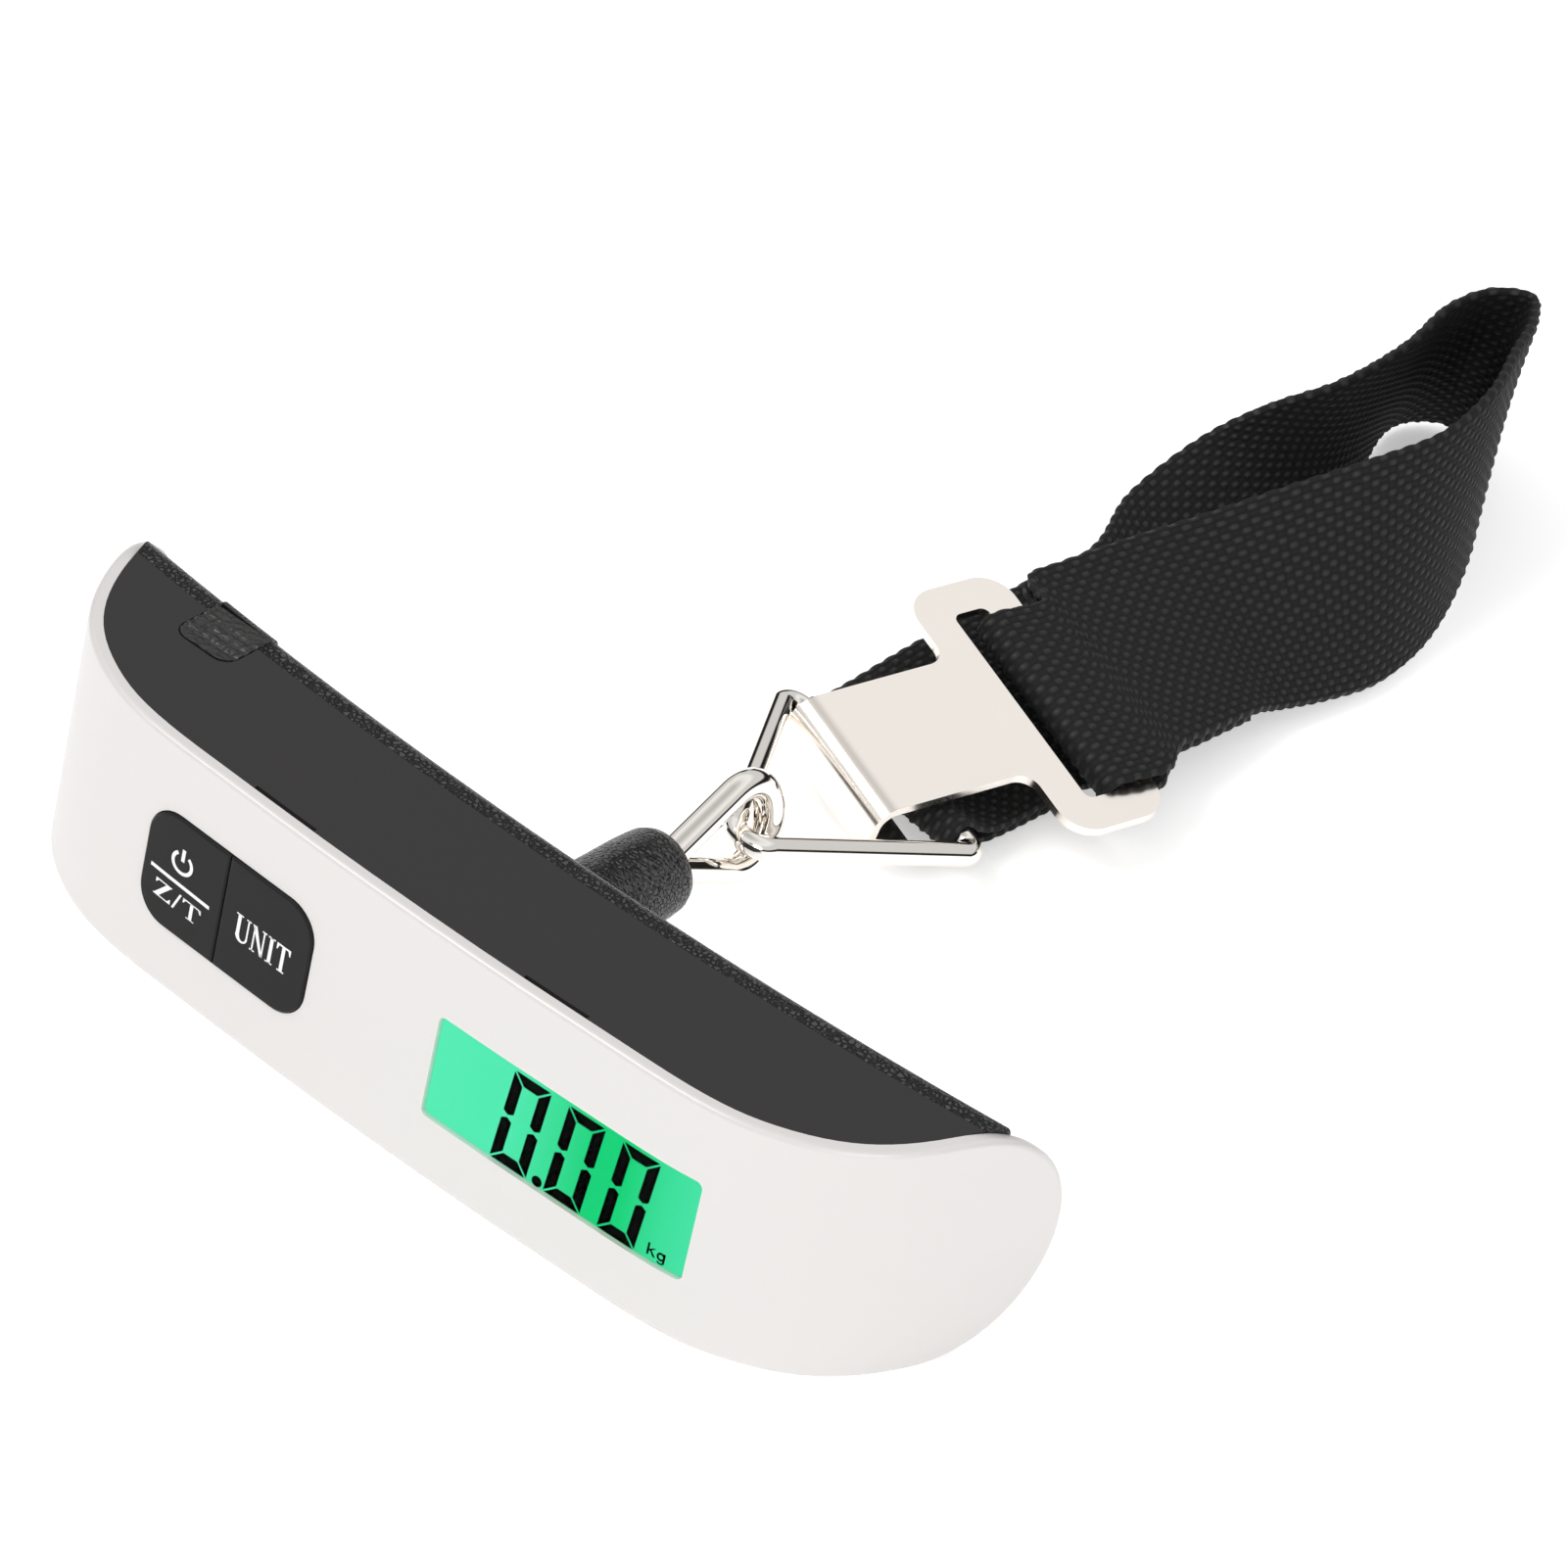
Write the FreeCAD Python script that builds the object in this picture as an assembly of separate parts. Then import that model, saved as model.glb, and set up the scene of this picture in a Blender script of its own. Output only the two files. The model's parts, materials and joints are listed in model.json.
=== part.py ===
import FreeCAD, Part
import math
import os

os.makedirs("parts", exist_ok=True)
V = FreeCAD.Vector

# Millimetres: +X along the handle towards the display, +Y out along the stem, +Z up. The
# scale lies on one flat side: z = 0 is that side and x = 0 is the stem's axis. Here y = 0
# is the middle of the rear deck that the stem stands on; as the parts are written they
# all move by ORIGIN, so that the frame's origin is the middle of the flat side.
ORIGIN = V(0, 12, 0)

# handle
WIDTH = 35.0            # across the handle, from one flat side to the other
MID = WIDTH / 2
HALF = [(0, -25.2), (20, -24.9), (33, -24.4), (44, -23.7), (50, -22.5), (55, -20.5),
        (62.6, -15.2), (68.1, -7.2), (71.3, 1.0), (73.6, 9.0), (75.0, 16.0)]
HORN_Y = 13.8           # how far the ends of the silver panel rise past the deck
HORN_R = 17.4           # rounding of the panel's ends
PANEL_T = 1.8
WALL = 1.6
DECK_R = 590.0          # the deck is slightly hollow along the handle
DECK_T = 2.6
RIM_T = 3.8             # the deck's rim reaches further down the sides
PROUD = 0.15            # the battery door stands up from the deck
FIT = 0.05              # gap between parts fixed to each other

# display and keys, on the front panel
LCD_X, LCD_Z, LCD_W, LCD_H = 27.6, 16.5, 40.2, 15.2
PAD_X, PAD_Z, PAD_W, PAD_H, PAD_R = -26.8, 17.2, 28.4, 17.1, 4.8
SEG_W, SEG_GAP, SLANT = 1.55, 0.2, 0.08
FIGURES, FIGURE_W, FIGURE_H = (21.5, 29.85, 38.2), 2.05, 6.2
FIGURE_Z, DOT_X = 16.1, 25.4
SEAM_X = -27.4
KEY_PROUD = 0.35
PCB_Y = -17.5           # front face of the circuit board
PCB_T = 1.2
BOARD_SCREWS = [(x, z) for x in (-43.6, 4.4) for z in (5.8, 29.2)]
SCREWS = [(x, z) for x in (-59.0, 59.0) for z in (5.2, 29.8)]
HEAD_Y = -11.6          # seat of the housing screws' heads, under the front panel

# stem, load cell and eye
STEM_Y = 26.0
STEM_PROFILE = [(10.6, 0.0), (8.6, 1.4), (7.3, 3.6), (6.5, 7.5), (6.1, 15.0), (5.8, 24.6)]
STEM_END_R = 4.6
BORE_R = 4.2
CELL_X, CELL_Y, CELL_T, CELL_Z = 20.0, -3.6, 5.0, 12.0
EYE_WIRE = 2.0
EYE_R = 5.9             # centre line of the eye's bend
EYE_Y, EYE_OFF = 41.1, 0.8
EYE_ROLL = 80.0         # the eye has swivelled this far about the stem
LEG_OFF = 0.5
SHANK_Y = 20.2

# triangle ring: where its wire's straight runs would meet, at the apex and both corners
RING_WIRE = 1.6
APEX = V(1.7, 36.34, 16.7)
CORNER_R = V(14.1, 76.4, 4.6)
CORNER_L = V(-19.0, 74.3, 10.8)
APEX_BEND, CORNER_BEND = 3.05, 2.0

# hook plate, in its own frame: X across, Y along the strap, Z = 0 at its top face
PLATE_T = 1.25
PLATE_AT = V(-3.8, 70.7, 12.55)
PLATE_YAW, PLATE_ROLL = -14.6, 11.3
NECK_W, EAR_W, EAR_Y, PLATE_END = 20.2, 43.0, 20.8, 36.6
SLOT_W, SLOT_Y0, SLOT_Y1 = 33.0, 26.0, 31.4
HOOK_H, HOOK_R, HOOK_LIP = 9.6, 3.3, 8.0

# webbing
WEB_W = 32.0
WEB_T = 2.0
FOLD_END = 39.0         # where the folded end's two layers meet past the plate
WRAP_W, WRAP_IN, WRAP_OUT = 26.4, 1.65, 2.6

# battery and its door
CELL_RAD, COIN_T = 10.0, 3.2
DOOR_X, DOOR_R = -49.6, 11.6
TAB_X0, TAB_X1, TAB_Y, TAB_R = -55.4, -46.4, -7.8, 2.2


def bspline(points):
    curve = Part.BSplineCurve()
    curve.interpolate([V(x, y, 0) for x, y in points])
    return curve


def mirrored(half):
    return [(-x, y) for x, y in reversed(half) if x > 0] + list(half)


OUTER = bspline(mirrored(HALF))


def inset(distance):
    """The hull's outer curve moved inwards by a distance, as points."""
    points = []
    first, last = OUTER.FirstParameter, OUTER.LastParameter
    for i in range(61):
        t = first + (last - first) * i / 60
        p, tangent = OUTER.value(t), OUTER.tangent(t)[0]
        points.append((p.x - tangent.y * distance, p.y + tangent.x * distance))
    return points


def deck(x):
    return x * x / (2 * DECK_R)


def prism(edges, z0, z1):
    face = Part.Face(Part.Wire(Part.__sortEdges__(edges)))
    face.translate(V(0, 0, z0))
    return face.extrude(V(0, 0, z1 - z0))


def band(d0, d1, z0=0.0, z1=WIDTH):
    """Skin between two insets of the hull curve."""
    a, b = inset(d0), inset(d1)
    edges = [bspline(a).toShape(), bspline(b).toShape()]
    for end in (0, -1):
        edges.append(Part.makeLine(V(*a[end], 0), V(*b[end], 0)))
    return prism(edges, z0, z1)


def hull(distance, z0, z1, drop):
    """Everything inside the hull curve, up to a line a given drop below the deck."""
    a = inset(distance)
    edges = [bspline(a).toShape(), Part.makeLine(V(*a[0], 0), V(*a[-1], 0))]
    body = prism(edges, z0, z1)
    arc = bspline([(x, deck(x) - drop) for x in range(-90, 91, 10)]).toShape()
    corners = [V(90, deck(90) - drop, 0), V(90, -60, 0), V(-90, -60, 0), V(-90, deck(90) - drop, 0)]
    edges = [arc] + [Part.makeLine(p, q) for p, q in zip(corners, corners[1:])]
    return body.common(prism(edges, z0 - 1, z1 + 1))


def box(x0, x1, y0, y1, z0, z1):
    return Part.makeBox(x1 - x0, y1 - y0, z1 - z0, V(x0, y0, z0))


def rod(r, x, z, y0, y1):
    return Part.makeCylinder(r, y1 - y0, V(x, y0, z), V(0, 1, 0))


def rounded(x, z, w, h, r, y0, y1):
    """A block along Y with a rounded outline in X and Z."""
    b = box(x - w / 2, x + w / 2, y0, y1, z - h / 2, z + h / 2)
    edges = [e for e in b.Edges if abs(e.Vertexes[0].Point.y - e.Vertexes[-1].Point.y) > 0.5]
    return b.makeFillet(r, edges)


def fuse(shapes):
    return shapes[0].multiFuse(shapes[1:]).removeSplitter() if len(shapes) > 1 else shapes[0]


NODES = {}


def keep(name, shape):
    NODES[name] = shape


# ---------------------------------------------------------------- front panel
side = box(-90, 90, -60, HORN_Y, 0, WIDTH)
ends = [e for e in side.Edges if abs(e.Vertexes[0].Point.y - HORN_Y) < 0.01
        and abs(e.Vertexes[-1].Point.y - HORN_Y) < 0.01 and e.Length > 100]
tongue = side.makeFillet(HORN_R, ends)
panel = band(0, PANEL_T).common(tongue)
skin = OUTER.toShape()


def on_skin(edge):
    a, b = edge.FirstParameter, edge.LastParameter
    for k in (0.1, 0.5, 0.9):
        p = edge.valueAt(a + (b - a) * k)
        if Part.Vertex(V(p.x, p.y, 0)).distToShape(skin)[0] > 0.02:
            return False
    return edge.Length > 1


panel = panel.makeFillet(0.7, [e for e in panel.Edges if on_skin(e)])
lcd_hole = rounded(LCD_X, LCD_Z, LCD_W, LCD_H, 1.0, -40, -19)
pad_hole = rounded(PAD_X, PAD_Z, PAD_W, PAD_H, PAD_R, -40, -19)
keep("front_panel", panel.cut(lcd_hole).cut(pad_hole))

# -------------------------------------------------------------------- chassis
def tab_block(grow, y1, z0, z1):
    """The battery door's tab, or its seat when grown: two rounded corners at the free end."""
    block = box(TAB_X0 - grow, TAB_X1 + grow, TAB_Y - grow, y1, z0, z1)
    return block.makeFillet(TAB_R + grow, [
        e for e in block.Edges
        if abs(e.Vertexes[0].Point.z - e.Vertexes[-1].Point.z) > 0.1
        and abs(e.Vertexes[0].Point.y - TAB_Y + grow) < 0.01])


chassis = hull(PANEL_T + FIT, 0, WIDTH, RIM_T + FIT)
chassis = chassis.cut(hull(PANEL_T + WALL, WALL, WIDTH - WALL, DECK_T - 3))
chassis = chassis.cut(rounded(LCD_X, LCD_Z, LCD_W - 1.2, LCD_H - 1.2, 0.6, -40, -19))
chassis = chassis.cut(rounded(PAD_X, PAD_Z, PAD_W + 0.4, PAD_H + 0.4, PAD_R, -40, -19))
for x0, x1 in ((-27.6, -17.4), (16.6, 26.4)):
    for z0 in (-1, WIDTH - 0.5):
        chassis = chassis.cut(band(0, PANEL_T + 0.7, z0, z0 + 1.5).common(
            box(x0, x1, -40, 0, z0, z0 + 1.5)))
for x, z in SCREWS:
    chassis = chassis.fuse(rod(2.8, x, z, -18, -9).common(hull(PANEL_T + FIT, 0, WIDTH, 0)))
    chassis = chassis.cut(rod(1.3, x, z, -24, -8)).cut(rod(2.4, x, z, -24, HEAD_Y))
for x, z in BOARD_SCREWS:
    post = rod(1.9, x, z, -22.6, PCB_Y - FIT).common(hull(PANEL_T + FIT, 0, WIDTH, 0))
    chassis = chassis.fuse(post).cut(rod(0.9, x, z, -20.6, -10))
chassis = chassis.cut(tab_block(0.15, 10, WIDTH - WALL - 1, WIDTH + 1))
keep("chassis", chassis.removeSplitter())



def deck_skin(thickness, rounding, proud=0.0):
    """The top of the hull down to a given thickness, its long edges rounded."""
    skin = hull(PANEL_T + FIT, 0, WIDTH + proud, -proud).cut(hull(-5, -1, WIDTH + 1, thickness))
    rims = [e for e in skin.Edges if e.Length > 100
            and abs(e.valueAt((e.FirstParameter + e.LastParameter) / 2).y - proud) < 0.1]
    return skin.makeFillet(rounding, rims)


# --------------------------------------------------------------- rear housing
lid = deck_skin(RIM_T, 1.9)
lid = lid.cut(hull(PANEL_T + WALL + 1, WALL + 1, WIDTH - WALL - 1, DECK_T))
stem_points = [V(0, -1, MID), V(STEM_PROFILE[0][0], -1, MID)]
stem_points += [V(r, y, MID) for r, y in STEM_PROFILE]
flank = Part.BSplineCurve()
flank.interpolate(stem_points[2:])
tip = [V(STEM_PROFILE[-1][0], STEM_PROFILE[-1][1], MID), V(STEM_END_R + 0.75, STEM_Y - 0.35, MID),
       V(STEM_END_R, STEM_Y, MID), V(0, STEM_Y, MID)]
outline = Part.Wire([Part.makeLine(stem_points[0], stem_points[1]),
                     Part.makeLine(stem_points[1], stem_points[2]), flank.toShape(),
                     Part.makeLine(tip[0], tip[1]), Part.makeLine(tip[1], tip[2]),
                     Part.makeLine(tip[2], tip[3]), Part.makeLine(tip[3], stem_points[0])])
stem = Part.Face(outline).revolve(V(0, 0, MID), V(0, 1, 0), 360)
lid = lid.fuse(stem)
for x, z in SCREWS:
    lid = lid.fuse(rod(2.8, x, z, -8.8, deck(x) - 1)).cut(rod(1.15, x, z, -9, 0))
for x in (-15, 15):
    lid = lid.fuse(rod(3.0, x, MID, CELL_Y, -1)).cut(rod(1.15, x, MID, -9, -0.8))
lid = lid.cut(rod(BORE_R, 0, MID, -10, STEM_Y + 1))
door_seat = fuse([rod(DOOR_R + 0.15, DOOR_X, MID, -3, 6),
                  box(TAB_X0 - 0.15, TAB_X1 + 0.15, -3, 6, MID, WIDTH + 1)])
lid = lid.cut(door_seat)
keep("rear_housing", lid.removeSplitter())

# --------------------------------------------------------------- battery door
door = deck_skin(1.5, 1.6, PROUD).common(
    fuse([rod(DOOR_R, DOOR_X, MID, -9, 9), box(TAB_X0, TAB_X1, -9, 9, MID, WIDTH + 1)]))
tab = tab_block(0, 0.4, WIDTH - 1.4, WIDTH + PROUD)
for k in range(3):
    tab = tab.cut(Part.makeCylinder(0.9, 20, V(TAB_X0 - 4, TAB_Y + 1.9 + 1.75 * k, WIDTH + 0.85), V(1, 0, 0)))
keep("battery_door", fuse([door, tab]))

# ------------------------------------------------------------ display stack
def behind(d0, d1, shrink, corner):
    """A curved sheet that follows the panel, a little smaller than its display window."""
    return band(d0, d1).common(rounded(LCD_X, LCD_Z, LCD_W - shrink, LCD_H - shrink, corner, -40, -19))


keep("display_window", behind(0.12, 0.45, 0.3, 0.95))
keep("lcd_glass", behind(0.6, 1.6, 0.3, 0.95))
X0, X1 = LCD_X - LCD_W / 2 + 1.0, LCD_X + LCD_W / 2 - 1.0
Z0, Z1 = LCD_Z - LCD_H / 2 + 0.9, LCD_Z + LCD_H / 2 - 0.9
guide = box(X0 + 0.4, X1 - 0.4, -25, -17.95, Z0 + 0.4, Z1 - 0.4)
keep("backlight_guide", guide.cut(band(-3, 1.7)))
frame_out = box(X0 - 0.9, X1 + 0.3, -19.7, -17.6, Z0 - 0.9, Z1 + 0.9)
keep("display_frame", frame_out.cut(box(X0 + 0.3, X1 - 0.3, -21, -17, Z0 + 0.3, Z1 - 0.3)))
keep("lcd_connector", box(X0 + 2, X1 - 2, -19.85, PCB_Y - FIT, Z1 + 1.0, Z1 + 1.9))


def stroke(cx, points):
    """One bar of a figure from its outline about the figure's centre, leaning with it."""
    out = [V(cx + a + SLANT * b, -30, FIGURE_Z + b) for a, b in points]
    return Part.Face(Part.makePolygon(out + out[:1])).extrude(V(0, 10, 0))


bars = [rod(0.75, DOT_X, FIGURE_Z - FIGURE_H - 0.1, -30, -20)]
W0, W1 = FIGURE_W - SEG_W / 2, FIGURE_W + SEG_W / 2
H0, H1 = FIGURE_H - SEG_W / 2, FIGURE_H + SEG_W / 2
for cx in FIGURES:
    for sz in (-1, 1):
        bars.append(stroke(cx, [(-W1 + SEG_GAP, sz * H1), (W1 - SEG_GAP, sz * H1),
                                (W0 - SEG_GAP, sz * H0), (-W0 + SEG_GAP, sz * H0)]))
        for sx in (-1, 1):
            bars.append(stroke(cx, [(sx * W1, sz * (H1 - SEG_GAP)), (sx * W0, sz * (H0 - SEG_GAP)),
                                    (sx * W0, sz * 0.65), (sx * FIGURE_W, sz * SEG_GAP),
                                    (sx * W1, sz * 0.65)]))
keep("lcd_segments", Part.makeCompound([b.common(band(0.5, 0.55)) for b in bars]))

# ----------------------------------------------------------------- electronics
board = box(-52.0, 49.0, PCB_Y, PCB_Y + PCB_T, 3.5, 31.5)
for x, z in BOARD_SCREWS:
    board = board.cut(rod(1.1, x, z, -20, -10))
keep("circuit_board", board)
screws = [rod(2.0, x, z, PCB_Y + PCB_T + FIT, PCB_Y + PCB_T + 1.4).fuse(rod(0.85, x, z, -20.2, -16.0))
          for x, z in BOARD_SCREWS]
keep("board_screws", Part.makeCompound(screws))
blob = Part.makeSphere(6.0, V(27, 0, 17)).common(box(10, 40, 4.6, 7, 0, 35))
blob.translate(V(0, PCB_Y + PCB_T + FIT - 4.6, 0))
keep("chip_cover", blob)
keep("backlight_led", box(X1 + 0.35, X1 + 0.95, -19.2, PCB_Y - FIT, 15.5, 18.5))

# ------------------------------------------------------------------------ keys


def key(x0, x1, stem_x):
    cap = rounded(PAD_X, PAD_Z, PAD_W - 0.3, PAD_H - 0.3, PAD_R - 0.15, -40, -15)
    cap = cap.common(box(x0, x1, -40, -15, 0, 35)).common(band(-KEY_PROUD, 3.0))
    top = [e for e in cap.Edges if Part.Vertex(e.valueAt((e.FirstParameter + e.LastParameter) / 2))
           .distToShape(band(-KEY_PROUD, -KEY_PROUD + 0.01, 0, WIDTH))[0] < 0.02 and e.Length > 2]
    cap = cap.makeFillet(0.35, top)
    pin = rod(1.8, stem_x, PAD_Z, -22.4, PCB_Y - 1.0)
    return cap.fuse(pin)


keep("key_power", key(-60, SEAM_X - 0.06, -34.2))
keep("key_unit", key(SEAM_X + 0.06, 0, -20.2))
domes = []
for x in (-34.2, -20.2):
    dome = Part.makeSphere(14.0, V(x, 13.52 + PCB_Y - FIT, PAD_Z)).common(
        box(x - 4, x + 4, -30, PCB_Y - FIT, PAD_Z - 4, PAD_Z + 4))
    domes.append(dome)
keep("key_domes", Part.makeCompound(domes))

# ---------------------------------------------------------- load cell and eye
cell = box(-CELL_X, CELL_X, CELL_Y - CELL_T, CELL_Y - FIT, CELL_Z, WIDTH - CELL_Z)
cell = cell.cut(rod(2.6, 0, MID, -20, 5))
for s in (-1, 1):
    cell = cell.cut(rod(1.3, s * 15.0, MID, -20, 5))
    cell = cell.cut(Part.makeCylinder(1.6, 40, V(s * 7.0, CELL_Y - CELL_T / 2, 0), V(0, 0, 1)))
keep("load_cell", cell)
fixings = [rod(2.5, s * 15, MID, CELL_Y - CELL_T - 1.8, CELL_Y - CELL_T - FIT).fuse(
    rod(1.1, s * 15, MID, CELL_Y - CELL_T - 1, -1.0)) for s in (-1, 1)]
keep("load_cell_screws", Part.makeCompound(fixings))
keep("strain_gauges", Part.makeCompound([
    box(x - 2, x + 2, CELL_Y - CELL_T - 0.25, CELL_Y - CELL_T - 0.02, MID - 2.5, MID + 2.5)
    for x in (-8.5, 8.5)]))

roll = FreeCAD.Rotation(V(0, 1, 0), EYE_ROLL)


def rolled(shape):
    out = shape.copy()
    out.Placement = FreeCAD.Placement(V(0, 0, MID), roll).multiply(out.Placement)
    return out


def wire_solid(path, radius, start, direction):
    profile = Part.Wire([Part.makeCircle(radius, start, direction)])
    return Part.Wire(path).makePipeShell([profile], True, False)


def touching(foot, centre, sign):
    """Where a line from the leg's foot touches the eye's bend."""
    d = foot - centre
    turn = math.atan2(d.y, d.x) + sign * math.acos(EYE_R / d.Length)
    return centre + V(EYE_R * math.cos(turn), EYE_R * math.sin(turn), 0)


centre = V(EYE_OFF, EYE_Y, 0)
feet = [V(LEG_OFF, STEM_Y, 0), V(-LEG_OFF, STEM_Y, 0)]
touch = [touching(feet[0], centre, 1), touching(feet[1], centre, -1)]
loop = Part.Arc(touch[0], centre + V(0, EYE_R, 0), touch[1]).toShape()
bend_start = loop.tangentAt(loop.FirstParameter)
pieces = [wire_solid([loop], EYE_WIRE, loop.valueAt(loop.FirstParameter), bend_start)]
for foot, end in zip(feet, touch):
    run = end - foot
    pieces.append(Part.makeCylinder(EYE_WIRE, run.Length, foot, run))
pieces.append(Part.makeSphere(EYE_WIRE + LEG_OFF, V(0, STEM_Y, 0)))
pieces.append(Part.makeCylinder(EYE_WIRE + LEG_OFF, STEM_Y - SHANK_Y, V(0, SHANK_Y, 0), V(0, 1, 0)))
eye = fuse(pieces)
keep("eye", rolled(eye))
anchor = Part.makeCylinder(BORE_R - 0.08, 13.0, V(0, 11.0, 0), V(0, 1, 0)).cut(
    Part.makeCylinder(EYE_WIRE + LEG_OFF + 0.02, 5.0, V(0, SHANK_Y - 0.02, 0), V(0, 1, 0)))
anchor = anchor.fuse(Part.makeCylinder(2.5, 24.5, V(0, -13.0, 0), V(0, 1, 0)))
keep("eye_anchor", rolled(anchor))
washer = Part.makeCylinder(5.0, 0.8, V(0, CELL_Y - CELL_T - 0.95, 0), V(0, 1, 0)).cut(
    Part.makeCylinder(2.55, 5, V(0, -12, 0), V(0, 1, 0)))
keep("anchor_washer", rolled(washer))
hexagon = [V(4.2 * math.cos(math.radians(60 * k)), -12.6, 4.2 * math.sin(math.radians(60 * k)))
           for k in range(7)]
nut = Part.Face(Part.makePolygon(hexagon)).extrude(V(0, 3.0, 0)).cut(
    Part.makeCylinder(2.52, 9, V(0, -16, 0), V(0, 1, 0)))
keep("anchor_nut", rolled(nut))

# ---------------------------------------------------------------- housing screws
keep("housing_screws", Part.makeCompound([
    rod(2.2, x, z, HEAD_Y - 1.5, HEAD_Y - FIT).fuse(rod(1.1, x, z, HEAD_Y - 0.5, -0.5)) for x, z in SCREWS]))

# ----------------------------------------------------------------- battery
seat_y = deck(DOOR_X + DOOR_R) - 1.5 - 0.25     # just under the door's lowest point
coin_y = seat_y - 0.1 - COIN_T
coin = rod(CELL_RAD, DOOR_X, MID, coin_y, coin_y + COIN_T)
keep("battery", coin.makeFillet(0.3, [e for e in coin.Edges if e.Length > 60]))
under_lid = deck(DOOR_X + DOOR_R + 2) - DECK_T - 0.1
tray = rod(DOOR_R - 0.2, DOOR_X, MID, under_lid, seat_y).fuse(
    rod(DOOR_R + 0.6, DOOR_X, MID, coin_y - 1.6, under_lid)).cut(
    rod(CELL_RAD + 0.25, DOOR_X, MID, coin_y - 0.5, 9)).cut(
    box(DOOR_X - 3, DOOR_X + 3, coin_y - 0.5, 9, MID + 9, MID + 13)).cut(
    box(DOOR_X - 4, DOOR_X + 4, coin_y - 3, 9, MID - 4, MID + 4))
keep("battery_tray", tray)
keep("battery_contact_neg", box(DOOR_X - 3.5, DOOR_X + 3.5, coin_y - 0.45, coin_y - 0.1,
                                MID - 3.5, MID + 3.5).fuse(
    box(DOOR_X - 1, DOOR_X + 1, PCB_Y + PCB_T + 0.1, coin_y - 0.4, MID - 0.2, MID + 0.2)))
POS_Z = MID + DOOR_R + 1.0      # the positive contact goes down past the tray
keep("battery_contact_pos", fuse([
    box(DOOR_X - 2.5, DOOR_X + 2.5, coin_y + 0.3, coin_y + 2.6, MID + CELL_RAD + 0.1, MID + CELL_RAD + 0.5),
    box(DOOR_X - 1, DOOR_X + 1, coin_y + 0.5, coin_y + 1.0, MID + CELL_RAD + 0.2, POS_Z + 0.3),
    box(DOOR_X - 1, DOOR_X + 1, PCB_Y + PCB_T + 0.1, coin_y + 1.0, POS_Z, POS_Z + 0.3)]))

# ------------------------------------------------------------------- leads
leads = []
for s in (-1, 1):
    for k in (-1, 1):
        x, z = s * 8.5 + 0.9 * k, MID - 3.2
        a, b, c = V(x, -8.75, z), V(x, -12.2, z - 1.4), V(x, PCB_Y + PCB_T + 0.3, z - 1.4)
        wire = Part.Wire([Part.Arc(a, V(x, -10.9, z - 0.5), b).toShape(), Part.makeLine(b, c)])
        profile = Part.Wire([Part.makeCircle(0.35, a, V(0, -1, 0))])
        leads.append(wire.makePipeShell([profile], True, False))
keep("gauge_leads", Part.makeCompound(leads))

# -------------------------------------------------------------- triangle ring
mid = (CORNER_L + CORNER_R) * 0.5
ring_x = (CORNER_R - CORNER_L).normalize()
ring_y = (mid - APEX - ring_x * (mid - APEX).dot(ring_x)).normalize()
ring_z = ring_x.cross(ring_y)
half_bar = (CORNER_R - CORNER_L).Length / 2
height = (mid - APEX).dot(ring_y)
ring_place = FreeCAD.Placement(mid, FreeCAD.Rotation(ring_x, ring_y, ring_z, "XYZ"))


def rounded_path(points, radii):
    """A closed path of straight runs joined by tangent arcs, starting mid-run."""
    n = len(points)
    arcs = []
    for i in range(n):
        p, a, b = points[i], points[i - 1], points[(i + 1) % n]
        u, w = (a - p).normalize(), (b - p).normalize()
        half = math.acos(u.dot(w)) / 2
        cut = radii[i] / math.tan(half)
        bis = (u + w).normalize()
        centre = p + bis * (radii[i] / math.sin(half))
        arcs.append((p + u * cut, centre - bis * radii[i], p + w * cut))
    edges = []
    first = (arcs[-1][2] + arcs[0][0]) * 0.5
    edges.append(Part.makeLine(first, arcs[0][0]))
    for i in range(n):
        edges.append(Part.Arc(*arcs[i]).toShape())
        end = arcs[(i + 1) % n][0] if i < n - 1 else first
        edges.append(Part.makeLine(arcs[i][2], end))
    return first, edges


first, edges = rounded_path([V(half_bar, 0, 0), V(-half_bar, 0, 0), V(0, -height, 0)],
                            [CORNER_BEND, CORNER_BEND, APEX_BEND])
heading = edges[0].Vertexes[-1].Point - edges[0].Vertexes[0].Point
if (edges[0].Vertexes[0].Point - first).Length > 0.01:
    heading = heading * -1
ring = wire_solid(edges, RING_WIRE, first, heading)
ring.Placement = ring_place
keep("triangle_ring", ring)

# ------------------------------------------------------------------ hook plate
plate_turn = FreeCAD.Rotation(V(0, 0, 1), PLATE_YAW).multiply(FreeCAD.Rotation(V(0, 1, 0), PLATE_ROLL))
plate_place = FreeCAD.Placement(PLATE_AT, plate_turn)


def placed(shape):
    out = shape.copy()
    out.Placement = plate_place.multiply(out.Placement)
    return out


t = PLATE_T
neck = box(-NECK_W / 2, NECK_W / 2, 0, EAR_Y + 3, -t, 0)
ears = box(-EAR_W / 2, EAR_W / 2, EAR_Y, PLATE_END, -t, 0)
corner = [e for e in ears.Edges if abs(e.Length - t) < 1e-6]
ears = ears.makeFillet(4.6, corner)
top = neck.fuse(ears).removeSplitter()
inner = [e for e in top.Edges if abs(e.Length - t) < 1e-6
         and abs(abs(e.Vertexes[0].Point.x) - NECK_W / 2) < 1e-3 and e.Vertexes[0].Point.y > 5]
top = top.makeFillet(2.6, inner)
slot = box(-SLOT_W / 2, SLOT_W / 2, SLOT_Y0, SLOT_Y1, -9, 9)
slot = slot.makeFillet(1.2, [e for e in slot.Edges if abs(e.Length - 18) < 1e-6])
top = top.cut(slot)


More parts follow.
